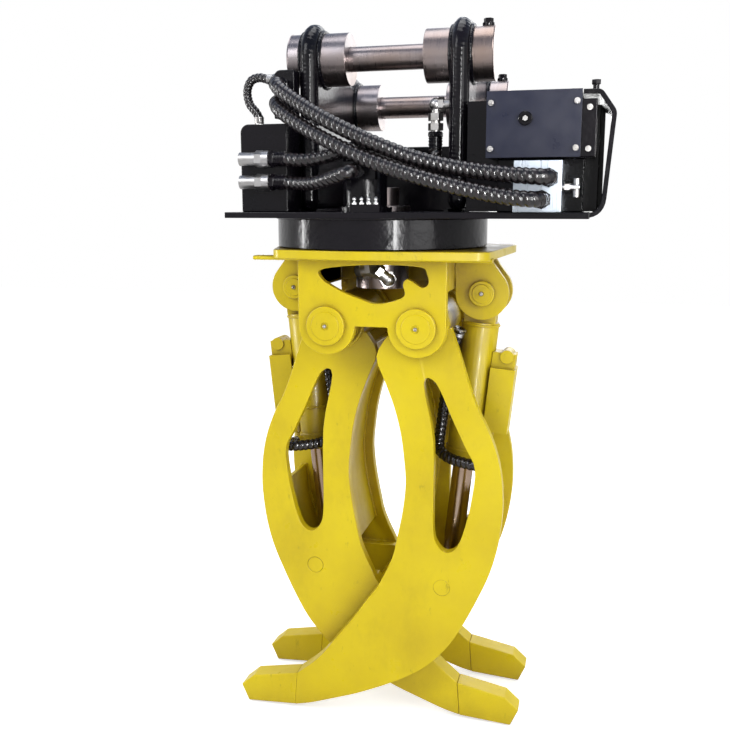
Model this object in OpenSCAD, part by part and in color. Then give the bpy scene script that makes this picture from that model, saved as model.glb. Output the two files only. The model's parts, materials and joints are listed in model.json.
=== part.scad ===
/* [Mounting pins and ears] */
// Diameter of both mounting pins
pin_d = 70; // [60:1:78]
// Clear gap between the inner bosses, which the stick fills
pin_gap = 228; // [200:1:250]
// Outer diameter of the pin bosses
boss_d = 150; // [130:1:170]
// Distance of the rear pin behind the front pin
pin_pitch = 390; // [360:1:420]
// Drop of the rear pin below the front pin
pin_drop = 100; // [70:1:130]
// Distance between the inner faces of the ears
ear_gap = 384; // [350:1:420]
// Thickness of each ear
ear_t = 56; // [45:1:64]
// Radius of the ears' round tops
ear_r = 102; // [94:1:115]
// How far the left bosses stand out of their ear
boss_out_l = 42; // [30:1:60]
// How far the right bosses stand out of their ear
boss_out_r = 64; // [50:1:80]

/* [Base and slew drum] */
// Height of the front pin above the top of the base plate
base_drop = 440; // [420:1:460]
// Thickness of the base plate
base_t = 16; // [12:1:20]
// Left end of the base plate from the middle of the ears
base_left = 400; // [390:1:420]
// Right end of the base plate from the middle of the ears
base_right = 590; // [570:1:610]
// Outer diameter of the slew drum
drum_d = 634; // [620:2:650]
// Height of the slew drum
drum_h = 87; // [84:1:96]
// Slew axis to the left of the ears' middle
slew_left = 25; // [0:1:40]
// Slew axis behind the front pin
slew_back = 30; // [0:1:60]
// Tooth module of the slew gears
gear_m = 8; // [8:1:8]
// Teeth on the turret's ring gear
ring_teeth = 40; // [38:1:42]
// Teeth on the drive pinion
pinion_teeth = 12; // [10:1:12]

/* [Turret] */
// Thickness of the turret's flange
flange_t = 25; // [20:1:30]
// Distance from jaw hinge to jaw hinge
hinge_gap = 264; // [250:2:280]
// Jaw hinges below the top of the base plate
hinge_drop = 322; // [310:1:334]
// Jaw hinge shaft diameter
hinge_d = 90; // [70:2:100]
// Distance from cylinder pin to cylinder pin
cyl_gap = 592; // [580:2:610]
// Cylinder pins above the jaw hinges
cyl_rise = 90; // [80:1:110]
// Cylinder pin diameter
cyl_pin_d = 50; // [44:2:60]
// Thickness of the turret's front and rear plates
body_t = 25; // [20:1:30]

/* [Jaws] */
// Thickness of a jaw's side plates
jaw_t = 30; // [24:1:34]
// Outer width of one jaw, front plate to rear plate
jaw_w = 330; // [320:2:340]
// Front to back step between the two jaws
jaw_step = 70; // [68:1:76]
// Width of a jaw's two lower tines
tine_w = 60; // [50:1:62]
// Thickness of the webs between the side plates
web_t = 16; // [12:1:20]
// Depth of the inner web below the plates' edges
web_in = 30; // [20:1:40]
// Width of the tooth points
tooth_w = 62; // [56:1:64]

/* [Cylinders] */
// Outer diameter of the cylinder barrels
barrel_d = 110; // [100:2:120]
// Diameter of the piston rods
rod_d = 62; // [50:2:70]
// Cylinder pin to the barrel's lower end
barrel_l = 520; // [500:5:540]
// Diameter of the pins in the rod eyes
rod_pin_d = 50; // [44:2:56]
// Free play of the rod eye round its pin, which takes up the linkage's slight curve
eye_play = 8; // [7.5:0.5:9]

/* [Hoses] */
// Outer diameter of the wrapped supply hoses
hose_d = 44; // [38:1:48]
// Distance from turn to turn of the hoses' wrap
wrap_pitch = 22; // [16:1:26]

/* [Hidden] */
clear = 0.3;
run_fit = 0.05;
cut = 5;
seat = 2;
fine = 96;
coarse = 48;
stator_r = 50;
motor_r = 62;
steel = [0.62, 0.60, 0.57];
black = [0.04, 0.045, 0.06];
yellow = [0.93, 0.76, 0.06];
zinc = [0.72, 0.73, 0.74];
rubber = [0.08, 0.08, 0.09];

base_top = -base_drop;
base_bot = base_top - base_t;
base_front = slew_back - drum_d / 2 - 14;
base_back = pin_pitch + ear_r - 40;
drum_bot = base_bot - drum_h;
ear_in = ear_gap / 2;
ear_out = ear_in + ear_t;
boss_r = boss_d / 2;
pin_r = pin_d / 2;
slew = [-slew_left, slew_back];

// turret levels
flange_top = drum_bot - 2;
flange_bot = flange_top - flange_t;
hinge_x = hinge_gap / 2;
hinge_z = base_top - hinge_drop;
cyl_x = cyl_gap / 2;
cyl_z = hinge_z + cyl_rise;
hinge_r = hinge_d / 2;
cyl_pin_r = cyl_pin_d / 2;

// front to back places of the jaws and of the turret's plates
front_y = slew_back - 210;
jaw_y = [front_y, front_y + jaw_step];
function jaw_mid(side) = jaw_y[side > 0 ? 0 : 1] + jaw_w / 2;
plate_gap = 10;
body_front = front_y - plate_gap - body_t;
body_back = front_y + jaw_w + jaw_step + plate_gap;
cap_t = 14;

// the gears: pitch radii and centre distance
ring_pr = gear_m * ring_teeth / 2;
pinion_pr = gear_m * pinion_teeth / 2;
gear_gap = ring_pr + pinion_pr + 0.3;
gear_bot = drum_bot + 46;
gear_top = gear_bot + 32;
pinion = [slew[0], slew[1] - gear_gap];

// the roller race between drum and turret
race_wall = 59;
race_r = drum_d / 2 - race_wall;
race_lip = 14;
race_z = drum_bot + 20;
roller_r = 9;
roller_n = 24;

// rod pin from the jaw hinge, jaws closed
rod_dx = 76;
rod_dz = -780;
rod_x = hinge_x + rod_dx;
rod_z = hinge_z + rod_dz;
cyl_dir = [rod_x - cyl_x, rod_z - cyl_z];
cyl_len = norm(cyl_dir);
cyl_tilt = atan2(cyl_dir[0], -cyl_dir[1]);
rod_pin_r = rod_pin_d / 2;
eye_r = rod_pin_r + eye_play + 17;

// jaw outlines, measured from the jaw hinge of the right jaw
inner_pts = [[-92, -30], [-124, -90], [-96, -168], [-70, -238], [-50, -318], [-39, -403],
    [-35, -468], [-43, -548], [-58, -628], [-76, -705], [-122, -804]];
tine_top = [[-162, -858], [-202, -918], [-252, -983], [-312, -1060], [-382, -1120]];
tine_low = [[-390, -1228], [-340, -1216], [-265, -1190], [-185, -1160], [-106, -1124]];
tooth_pts = [[-382, -1120], [-530, -1148], [-572, -1185], [-548, -1238], [-390, -1228]];
outer_pts = [[-47, -1093], [18, -1050], [58, -1013], [103, -958], [143, -888], [186, -798], [218, -718],
    [238, -638], [249, -548], [249, -478], [242, -413], [226, -348], [200, -283], [176, -238],
    [148, -168], [123, -88], [92, 0]];
slot_pts = [[16, -164], [52, -160], [100, -262], [140, -345], [168, -407], [160, -500],
    [146, -571], [122, -645], [90, -668], [60, -645], [48, -581], [46, -335]];
window_pts = [[-143, -30], [-146, -55], [-119, -75], [-75, -97], [-25, -115], [13, -125], [56, -119],
    [96, -101], [92, -70], [103, -54], [121, -61], [146, -76], [164, -66], [160, -40], [138, -20],
    [0, -16]];

// values of the pieces on the bracket and the turret
front_seat = [0, 0];
rear_seat = [pin_pitch, -pin_drop];
boss_end = pin_gap / 2;
left_end = -ear_out - boss_out_l;
right_end = ear_out + boss_out_r;
groove_w = 4;
groove_deep = 1.5;
bolt_x = right_end - 24;
ear_foot = 10;
ear_web_r = 50;
cross_h = 205;
hub_hole = 62;
press = 25;
backlash = 0.3;
shaft_r = 20;
motor_h = 150;
port_z = base_top + 112;
swivel_h = 100;
union_list = [[42, -18, 22, 78], [68, 22, 19, -50]];
flange_corners = [[-250, -205], [296, -215], [322, 232], [-322, 232]];
lobe_r = 77;
lobe_gap = 42;
lobe_t = 22;
hinge_lobe_r = 84;
core_x = 208;
tube_r = 75;
tine_start = -800;
cyl_eye_r = 55;
neck_l = 88;
wall = 10;
guard_x = 122;
guard_y = 46;
guard_t = 8;
guard_low = 110;
pipe_r = 10;
small_hose_d = 26;
small_pitch = 20;
house_left = 388;
house_top = base_top + 245;
house_front = -200;
house_back = 150;
bulk_front = -130;
bulk_low = base_top + 265;
bulk_high = base_top + 380;
union_z = [base_top + 147, base_top + 83];
union_out = 26;
union_x = -house_left + 9;
union_long = 49;
union_neck_x = union_x + 20;
union_neck_r = 14;
union_body_r = 19;
union_nut = 20;
union_nut_r = 23;
box_left = 320;
box_right = 560;
box_front = -250;
box_back = 90;
box_bot = base_top + 140;
box_top = base_top + 307;
block_left = 393;
tee_z = base_top + 65;
elbow_z = base_top + 300;
elbow_y = -52;
elbow_drop = 75;
elbow_x = ear_in - 42;
elbow_r = 19;

// routes of the hoses
union_end = [union_x + union_long + 2 * union_nut, house_front - union_out];
port_y = pinion[1] - motor_r - 8;
port_out = 20;
block_y = box_front - 5;
upper_route = [[-285, bulk_front, 356], [-285, bulk_front - 42, 356], [-262, -208, 336], [-190, -246, 290],
    [-90, -282, 235], [20, -300, 185], [140, -306, 140], [260, -312, 112], [380, -328, 96],
    [446, -340, 90], [480, -328, 88], [485, block_y - 44, 88], [485, block_y, 88]];
lower_route = [[-285, bulk_front, 302], [-285, bulk_front - 42, 302], [-262, -212, 280], [-190, -250, 235],
    [-90, -288, 184], [20, -312, 136], [140, -328, 96], [260, -336, 64], [370, -346, 42],
    [430, -352, 35], [462, -338, 33], [468, block_y - 44, 33], [468, block_y, 33]];
left_route = [[union_end[0], union_end[1], 147], [union_end[0] + 38, union_end[1], 147], [-190, -236, 142],
    [-128, -240, 148], [-72, -247, 163], [-24, -256, 174], [20, -256, 170], [64, -236, 148],
    [112, -180, 118], [138, -110, 104],
    [elbow_x, -62, 124], [elbow_x, elbow_y, 170], [elbow_x, elbow_y, 300 - elbow_drop]];
motor_route = [[union_end[0], union_end[1], 83], [union_end[0] + 38, union_end[1], 83], [-200, -238, 78],
    [-140, -268, 80], [-80, -300, 94], [-38, -318, 106], [pinion[0], port_y - 38, 112],
    [pinion[0], port_y, 112]];
loop_route = [[-310, -105, 378], [-336, -105, 378], [-362, -105, 384], [-388, -105, 376], [-401, -105, 348],
    [-395, -105, 312], [-376, -105, 288], [-366, -105, 270], [-366, -105, 245]];
port_turn = 45;
port_end = (barrel_d / 2 + port_out) * cos(port_turn);
barrel_route = [[-50, -52, 410], [-58, -50, 380], [-70, -44, 300], [-74, -38, 200], [-76, -36, 100],
    [-76, -42, 56], [-64, -64, 32], [-28, -88, 22], [14, -104, 21], [50, -110, 21], [75, -98, 21],
    [port_end + 20, -port_end - 20, 21], [port_end, -port_end, 21]];

// cylinder along X, Y or Z from a start value to an end value
module rod_x_at(x0, x1, r, y, z) translate([x0, y, z]) rotate([0, 90, 0])
    cylinder(h = x1 - x0, r = r, $fn = fine);
module rod_y_at(y0, y1, r, x, z) translate([x, y0, z]) rotate([-90, 0, 0])
    cylinder(h = y1 - y0, r = r, $fn = fine);
module rod_z_at(z0, z1, r, x, y) translate([x, y, z0])
    cylinder(h = z1 - z0, r = r, $fn = fine);
// box between two corners
module block(a, b) translate(a) cube(b - a);
// plate drawn in X and Z and made solid from y0 to y1
module xz_plate(y0, y1) translate([0, y1, 0]) rotate([90, 0, 0])
    linear_extrude(height = y1 - y0) children();
// plate drawn in Y and Z and made solid from x0 to x1
module yz_plate(x0, x1) translate([x0, 0, 0]) rotate([90, 0, 90])
    linear_extrude(height = x1 - x0) children();

// smooth curve through points: each stretch is a cubic through its two points
function curve_at(a, b, c, d, t) = 0.5 * (2 * b + (c - a) * t + (2 * a - 5 * b + 4 * c - d) * t * t
    + (3 * b - a - 3 * c + d) * t * t * t);
function curve(p, n) = let(m = len(p) - 1) concat([for (i = [0:m - 1], k = [0:n - 1])
    curve_at(p[max(i - 1, 0)], p[i], p[i + 1], p[min(i + 2, m)], k / n)], [p[m]]);

// route of even steps along a smooth curve
function run_length(q) = [for (i = 0, s = 0; i < len(q); s = s + (i < len(q) - 1 ? norm(q[i + 1] - q[i]) : 0),
    i = i + 1) s];
function find_step(s, v, i = 0) = i >= len(s) - 2 || s[i + 1] >= v ? i : find_step(s, v, i + 1);
function even_route(p, step) = let(q = curve(p, 12), s = run_length(q), total = s[len(s) - 1],
    n = ceil(total / step)) [for (k = [0:n]) let(v = total * k / n, i = find_step(s, v),
    f = (v - s[i]) / (s[i + 1] - s[i])) q[i] + (q[i + 1] - q[i]) * f];
function curve_loop(p, n) = let(m = len(p)) [for (i = [0:m - 1], k = [0:n - 1])
    curve_at(p[(i + m - 1) % m], p[i], p[(i + 1) % m], p[(i + 2) % m], k / n)];
function unit(v) = v / norm(v);
function heading(q, i) = unit(q[min(i + 1, len(q) - 1)] - q[max(i - 1, 0)]);
function side_step(prev, t) = unit(prev - (prev * t) * t);
function sides(q, seed) = [for (i = 0, u = side_step(seed, heading(q, 0)); i < len(q); i = i + 1,
    u = i < len(q) ? side_step(u, heading(q, i)) : u) u];

// tube along a route: outer rings of radius ro[i] and a bore of radius ri
module tube(q, ro, ri, seed, n = 8) {
    u = sides(q, seed);
    m = len(q);
    function ring(i, r) = let(t = heading(q, i), v = cross(t, u[i]))
        [for (k = [0:n - 1]) q[i] + r * (cos(k * 360 / n) * u[i] + sin(k * 360 / n) * v)];
    inner = [for (i = [0:4:m - 1]) i];
    last = inner[len(inner) - 1] == m - 1 ? inner : concat(inner, [m - 1]);
    outer_v = [for (i = [0:m - 1]) each ring(i, ro[i])];
    inner_v = [for (i = last) each ring(i, ri)];
    base = m * n;
    w = len(last);
    walls = [for (i = [0:m - 2], k = [0:n - 1]) let(a = i * n + k, b = i * n + (k + 1) % n)
        each [[a, b, b + n], [a, b + n, a + n]]];
    bore = [for (i = [0:w - 2], k = [0:n - 1]) let(a = base + i * n + k, b = base + i * n + (k + 1) % n)
        each [[a, b + n, b], [a, a + n, b + n]]];
    start = [for (k = [0:n - 1]) let(a = k, b = (k + 1) % n) each [[a, base + a, base + b], [a, base + b, b]]];
    o = (m - 1) * n;
    e = base + (w - 1) * n;
    end = [for (k = [0:n - 1]) let(a = k, b = (k + 1) % n) each [[o + a, o + b, e + b], [o + a, e + b, e + a]]];
    polyhedron(points = concat(outer_v, inner_v), faces = [for (f = concat(walls, bore, start, end))
        [f[2], f[1], f[0]]], convexity = 10);
}
// hose wrapped in a protective strip, whose turns show as ribs; it leaves both its ends straight
function held(p) = let(m = len(p) - 1) concat([p[0], (p[0] + p[1]) / 2], [for (i = [1:m - 1]) p[i]],
    [(p[m - 1] + p[m]) / 2, p[m]]);
function wrap(i, m) = i < 3 || i > m - 4 || i % 2 == 0 ? 0.40 : 0.5;
// least gap between rings of one hose that lie more than 3 diameters apart along it
function self_gap(q, d, pitch) = let(far = ceil(3 * d / (pitch / 2)))
    min([for (i = [0:2:len(q) - 1], j = [i + far:2:len(q) - 1]) norm(q[j] - q[i]) - d]);
module wrapped_hose(name, p, d, pitch, seed) {
    q = even_route(held(p), pitch / 2);
    m = len(q);
    echo(str(name, ": least gap to itself ", self_gap(q, d, pitch), " mm, ", m, " rings"));
    tube(q, [for (i = [0:m - 1]) d * wrap(i, m)], d * 0.25, seed);
}

module ear_shape() {
    hull() {
        circle(r = ear_r, $fn = fine);
        translate([-ear_r, base_top]) square([2 * ear_r, ear_foot]);
    }
    hull() {
        translate([pin_pitch, -pin_drop]) circle(r = ear_r, $fn = fine);
        translate([pin_pitch - ear_r, base_top]) square([2 * ear_r - 40, ear_foot]);
    }
    hull() {
        circle(r = ear_web_r, $fn = coarse);
        translate([pin_pitch, -pin_drop]) circle(r = ear_web_r, $fn = coarse);
        translate([0, base_top]) square([pin_pitch, ear_foot]);
    }
}
module ear(x0) difference() {
    yz_plate(x0, x0 + ear_t) ear_shape();
    for (p = [front_seat, rear_seat])
        rod_x_at(x0 - cut, x0 + ear_t + cut, boss_r + clear / 2, p[0], p[1]);
}
module ear_left() color(black) ear(-ear_out);
module ear_right() color(black) ear(ear_in);
module boss(x0, x1, p) difference() {
    rod_x_at(x0, x1, boss_r, p[0], p[1]);
    rod_x_at(x0 - cut, x1 + cut, pin_r + run_fit, p[0], p[1]);
}
module boss_front_left() color(steel) boss(left_end, -boss_end, front_seat);
module boss_front_right() color(steel) boss(boss_end, right_end, front_seat);
module boss_rear_left() color(steel) boss(left_end, -boss_end, rear_seat);
module boss_rear_right() color(steel) boss(boss_end, right_end, rear_seat);
// pin with a seal groove just inside each inner boss
module pin_along(p) color(steel) difference() {
    rod_x_at(left_end, right_end, pin_r, p[0], p[1]);
    for (x = [-boss_end - groove_w, boss_end]) difference() {
        rod_x_at(x, x + groove_w, pin_r + cut, p[0], p[1]);
        rod_x_at(x - cut, x + groove_w + cut, pin_r - groove_deep, p[0], p[1]);
    }
}
module front_pin() pin_along(front_seat);
module rear_pin() pin_along(rear_seat);
// plate that ties the ears together at the back
module cross_plate() color(black)
    block([-ear_in, pin_pitch - 94, base_top], [ear_in, pin_pitch - 72, base_top + cross_h]);
// bolts that hold the pins, standing on the right bosses
module pin_bolts() color(black) for (p = [front_seat, rear_seat]) difference() {
    translate([bolt_x, p[0], p[1]]) {
        cylinder(h = boss_r + 8, r = 17, $fn = coarse);
        translate([0, 0, boss_r + 8]) cylinder(h = 12, r = 14, $fn = 6);
    }
    rod_x_at(bolt_x - 40, bolt_x + 40, boss_r, p[0], p[1]);
}
module base_plate() color(black) difference() {
    block([-base_left, base_front, base_bot], [base_right, base_back, base_top]);
    rod_z_at(base_bot - cut, base_top + cut, stator_r + clear, slew[0], slew[1]);
    rod_z_at(base_bot - cut, base_top + cut, pinion_pr + gear_m + 1, pinion[0], pinion[1]);
}

// drum with its half of the roller race
module drum() color(black) translate(slew) rotate_extrude($fn = fine) polygon([
    [drum_d / 2, drum_bot], [drum_d / 2, base_bot], [race_r + race_lip, base_bot],
    [race_r + race_lip, drum_bot + 42],
    [race_r + 0.5, drum_bot + 42], [race_r + 0.5, race_z + roller_r + clear],
    [race_r + roller_r + clear, race_z + roller_r + clear],
    [race_r + roller_r + clear, race_z - roller_r - clear], [race_r + 0.5, race_z - roller_r - clear],
    [race_r + 0.5, drum_bot]]);
// involute gear: involute of an angle, half tooth angle at radius r, and one side of a tooth
function inv(a) = tan(a) * 180 / PI - a;
function half_tooth(r, pr) = (PI * gear_m / 2 - backlash) / (2 * pr) * 180 / PI + inv(press)
    - (r > pr * cos(press) ? inv(acos(pr * cos(press) / r)) : 0);
function tooth_side(pr, s) = let(r0 = pr - 1.25 * gear_m, r1 = pr + gear_m, rb = max(r0, pr * cos(press)))
    concat([[r0, s * half_tooth(rb, pr)]], [for (k = [0:4]) let(r = rb + (r1 - rb) * k / 4)
    [r, s * half_tooth(r, pr)]]);
module gear_shape(n, turn) {
    pr = gear_m * n / 2;
    down = tooth_side(pr, 1);
    tooth = concat(tooth_side(pr, -1), [for (i = [len(down) - 1:-1:0]) down[i]]);
    polygon([for (k = [0:n - 1], p = tooth) let(a = turn + k * 360 / n + p[1]) p[0] * [cos(a), sin(a)]]);
}
module hub_gear() color(steel) translate(slew) {
    rotate_extrude($fn = fine) polygon([
        [hub_hole, flange_top], [race_r - 0.5, flange_top], [race_r - 0.5, race_z - roller_r - clear],
        [race_r - roller_r - clear, race_z - roller_r - clear],
        [race_r - roller_r - clear, race_z + roller_r + clear], [race_r - 0.5, race_z + roller_r + clear],
        [race_r - 0.5, drum_bot + 40], [hub_hole, drum_bot + 40]]);
    translate([0, 0, drum_bot + 40 - seat]) linear_extrude(height = gear_top - drum_bot - 40 + seat) difference() {
        gear_shape(ring_teeth, -90);
        circle(r = hub_hole + 30, $fn = fine);
    }
}
module pinion_gear() color(steel) translate(pinion) {
    translate([0, 0, gear_bot]) linear_extrude(height = gear_top - gear_bot)
        gear_shape(pinion_teeth, 90 + 180 / pinion_teeth);
    translate([0, 0, gear_top]) cylinder(h = base_top + 40 - gear_top, r = shaft_r, $fn = coarse);
}
module rollers() color(steel) for (k = [0:roller_n - 1])
    translate(slew) rotate([0, 0, (k + 0.5) * 360 / roller_n])
    translate([race_r, 0, race_z - roller_r]) cylinder(h = 2 * roller_r, r = roller_r, $fn = 24);
module slew_motor() color(black) difference() {
    union() {
        rod_z_at(base_top, base_top + 14, motor_r + 14, pinion[0], pinion[1]);
        rod_z_at(base_top, base_top + motor_h, motor_r, pinion[0], pinion[1]);
        rod_z_at(base_top + motor_h, base_top + motor_h + 16, motor_r - 12, pinion[0], pinion[1]);
        block([pinion[0] - 46, pinion[1] - motor_r - 8, port_z - 24],
            [pinion[0] + 46, pinion[1] - 20, port_z + 24]);
    }
    rod_z_at(base_top - cut, base_top + 44, shaft_r + clear, pinion[0], pinion[1]);
}
// rotary joint for the oil: the still column and the housing that turns round it
module swivel_stator() color(steel) {
    rod_z_at(flange_bot - swivel_h + 14, base_top, stator_r, slew[0], slew[1]);
    rod_z_at(base_top, base_top + 16, stator_r + 34, slew[0], slew[1]);
    rod_z_at(base_top + 16, base_top + 70, stator_r, slew[0], slew[1]);
}
module swivel_rotor() color(steel) difference() {
    rod_z_at(flange_bot - swivel_h, flange_bot, stator_r + 30, slew[0], slew[1]);
    rod_z_at(flange_bot - swivel_h + 14 - clear, flange_bot + cut, stator_r + clear, slew[0], slew[1]);
}
// unions on the rotary joint that show in the turret's window: each is [drop, turn, radius, lean]
module swivel_unions() color(zinc) difference() {
    for (u = union_list) translate([slew[0], slew[1], flange_bot - u[0]]) rotate([0, 0, u[1]]) {
        rotate([90, 0, 0]) cylinder(h = stator_r + 75, r = u[2], $fn = coarse);
        translate([0, -stator_r - 42, 0]) rotate([90, 0, 0]) cylinder(h = 18, r = u[2] + 7, $fn = 6);
        translate([0, -stator_r - 75, 0]) sphere(r = u[2], $fn = 24);
        translate([0, -stator_r - 75, 0]) rotate([0, u[3], 0]) {
            cylinder(h = 34, r = u[2] - 2, $fn = coarse);
            translate([0, 0, 30]) cylinder(h = 16, r = u[2] + 4, $fn = 6);
        }
    }
    rod_z_at(flange_bot - swivel_h - cut, flange_bot + cut, stator_r + 30, slew[0], slew[1]);
}

// flange, plates and shafts of the turret
module flange() color(yellow) difference() {
    translate([0, 0, flange_bot]) linear_extrude(height = flange_t) hull() {
        translate(slew) circle(r = drum_d / 2 + 4, $fn = fine);
        for (p = flange_corners) translate(p) circle(r = 40, $fn = coarse);
    }
    rod_z_at(flange_bot - cut, flange_top + cut, stator_r + 10, slew[0], slew[1]);
}
module body_shape() {
    for (s = [-1, 1]) hull() {
        translate([s * hinge_x, hinge_z]) circle(r = hinge_lobe_r, $fn = 48);
        translate([s * (core_x - 42) - 50, flange_bot - 10]) square([100, 10]);
    }
    translate([-hinge_x, hinge_z]) square([hinge_gap, flange_bot - hinge_z]);
}
module body_plate(y0) difference() {
    xz_plate(y0, y0 + body_t) difference() {
        body_shape();
        translate([0, flange_bot]) polygon(curve_loop(window_pts, 4));
    }
    for (s = [-1, 1]) rod_y_at(y0 - cut, y0 + body_t + cut, hinge_r + run_fit, s * hinge_x, hinge_z);
}
module front_plate() color(yellow) body_plate(body_front);
module rear_plate() color(yellow) body_plate(body_back);
// ribs and rear wall between the front and rear plates
module core_box() color(yellow) {
    for (s = [-1, 1]) block([s * core_x - 8, body_front + body_t, cyl_z + 12],
        [s * core_x + 8, body_back, flange_bot]);
    block([-core_x + 8, body_back - 60, cyl_z + 12], [core_x - 8, body_back - 44, flange_bot]);
}
// pair of lobes on each side that hold a cylinder's pin between the ribs and the flange
module clevis(side) for (y = [-lobe_gap - lobe_t, lobe_gap]) difference() {
    xz_plate(jaw_mid(side) + y, jaw_mid(side) + y + lobe_t) hull() {
        translate([side * cyl_x, cyl_z]) circle(r = lobe_r, $fn = 48);
        translate([side * (core_x + 58) - 50, flange_bot - 10]) square([100, 10]);
    }
    rod_y_at(jaw_mid(side) + y - cut, jaw_mid(side) + y + lobe_t + cut, cyl_pin_r + run_fit, side * cyl_x, cyl_z);
}
module clevis_left() color(yellow) clevis(-1);
module clevis_right() color(yellow) clevis(1);
// shaft with a cap at each end
module shaft(y0, y1, r, x, z) {
    rod_y_at(y0 - cap_t, y1 + cap_t, r, x, z);
    rod_y_at(y0 - cap_t, y0, r + 12, x, z);
    rod_y_at(y1, y1 + cap_t, r + 12, x, z);
}
module hinge_shaft(side) shaft(body_front, body_back + body_t, hinge_r, side * hinge_x, hinge_z);
module cyl_pin(side) shaft(jaw_mid(side) - lobe_gap - lobe_t, jaw_mid(side) + lobe_gap + lobe_t, cyl_pin_r,
    side * cyl_x, cyl_z);
module hinge_shaft_left() color(yellow) hinge_shaft(-1);
module hinge_shaft_right() color(yellow) hinge_shaft(1);
module cyl_pin_left() color(yellow) cyl_pin(-1);
module cyl_pin_right() color(yellow) cyl_pin(1);

// places a piece drawn round the right jaw's hinge: side 1 is the right jaw, side -1 its mirror at the left
module at_jaw(side) translate([side * hinge_x, side > 0 ? jaw_y[0] : jaw_y[1], hinge_z])
    mirror([side > 0 ? 0 : 1, 0, 0]) children();
// points at a distance d to the left of a line's points, and a strip of thickness t beside the line
function beside(p, i, d) = let(t = heading(p, i)) p[i] + d * [-t[1], t[0]];
module strip(p, d, t) polygon(concat([for (i = [0:len(p) - 1]) beside(p, i, d)],
    [for (i = [len(p) - 1:-1:0]) beside(p, i, d + t)]));
module jaw_outline() polygon(concat(curve(inner_pts, 3), curve(tine_top, 3), curve(tine_low, 3),
    curve(outer_pts, 3)));
module jaw() difference() {
    union() {
        for (y = [0, jaw_w - jaw_t]) xz_plate(y, y + jaw_t) difference() {
            union() {
                jaw_outline();
                circle(r = tube_r + 11, $fn = fine);
            }
            polygon(curve_loop(slot_pts, 4));
        }
        for (y = [0, jaw_w - tine_w]) xz_plate(y, y + tine_w) intersection() {
            jaw_outline();
            translate([-600, -1300]) square([1000, 1300 + tine_start]);
        }
        rod_y_at(0, jaw_w, tube_r, 0, 0);
        xz_plate(jaw_t - 1, jaw_w - jaw_t + 1) {
            strip(curve([for (i = [1:9]) inner_pts[i]], 3), web_in, web_t);
            strip(curve([for (i = [3:8]) outer_pts[i]], 3), web_in, web_t);
        }
        for (y = [0, jaw_w - tine_w]) rod_y_at(y, y + tine_w, rod_pin_r + 24, rod_dx, rod_dz);
    }
    rod_y_at(-cut, jaw_w + cut, hinge_r + run_fit, 0, 0);
    rod_y_at(-cut, jaw_w + cut, rod_pin_r + clear / 2, rod_dx, rod_dz);
}
module jaw_right() color(yellow) at_jaw(1) jaw();
module jaw_left() color(yellow) at_jaw(-1) jaw();
module tooth(y0) xz_plate(y0 + (tine_w - tooth_w) / 2, y0 + (tine_w + tooth_w) / 2) polygon(tooth_pts);
module tooth_left_front() color(yellow) at_jaw(-1) tooth(0);
module tooth_left_rear() color(yellow) at_jaw(-1) tooth(jaw_w - tine_w);
module tooth_right_front() color(yellow) at_jaw(1) tooth(0);
module tooth_right_rear() color(yellow) at_jaw(1) tooth(jaw_w - tine_w);
module rod_pin() rod_y_at(0, jaw_w, rod_pin_r, rod_dx, rod_dz);
module rod_pin_left() color(steel) at_jaw(-1) rod_pin();
module rod_pin_right() color(steel) at_jaw(1) rod_pin();

// places a piece drawn with the cylinder's pin at the origin and its axis along -Z
module at_cylinder(side) translate([side * cyl_x, jaw_mid(side), cyl_z])
    mirror([side > 0 ? 0 : 1, 0, 0]) rotate([0, -cyl_tilt, 0]) children();
module barrel() difference() {
    union() {
        rod_y_at(-40, 40, cyl_eye_r, 0, 0);
        block([-45, -40, -neck_l - 1], [45, 40, 0]);
        rod_z_at(-barrel_l, -neck_l, barrel_d / 2, 0, 0);
        rod_z_at(-barrel_l, -barrel_l + 42, barrel_d / 2 + 5, 0, 0);
        rotate([0, 0, -port_turn])
            rod_x_at(barrel_d / 2 - 10, barrel_d / 2 + port_out, 17, 0, -barrel_l + 21);
    }
    rod_y_at(-40 - cut, 40 + cut, cyl_pin_r + run_fit, 0, 0);
    rod_z_at(-barrel_l + 32, -neck_l - 22, barrel_d / 2 - wall, 0, 0);
    rod_z_at(-barrel_l - cut, -barrel_l + 32 + cut, rod_d / 2 + run_fit, 0, 0);
}
module barrel_right() color(yellow) at_cylinder(1) barrel();
module barrel_left() color(yellow) at_cylinder(-1) barrel();
module rod() difference() {
    union() {
        rod_z_at(-barrel_l + 40, -barrel_l + 76, barrel_d / 2 - wall - run_fit, 0, 0);
        rod_z_at(-cyl_len + eye_r - 12, -barrel_l + 41, rod_d / 2, 0, 0);
        rod_y_at(-36, 36, eye_r, 0, -cyl_len);
    }
    rod_y_at(-36 - cut, 36 + cut, rod_pin_r + eye_play, 0, -cyl_len);
}
module rod_right() color(steel) at_cylinder(1) rod();
module rod_left() color(steel) at_cylinder(-1) rod();
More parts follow.
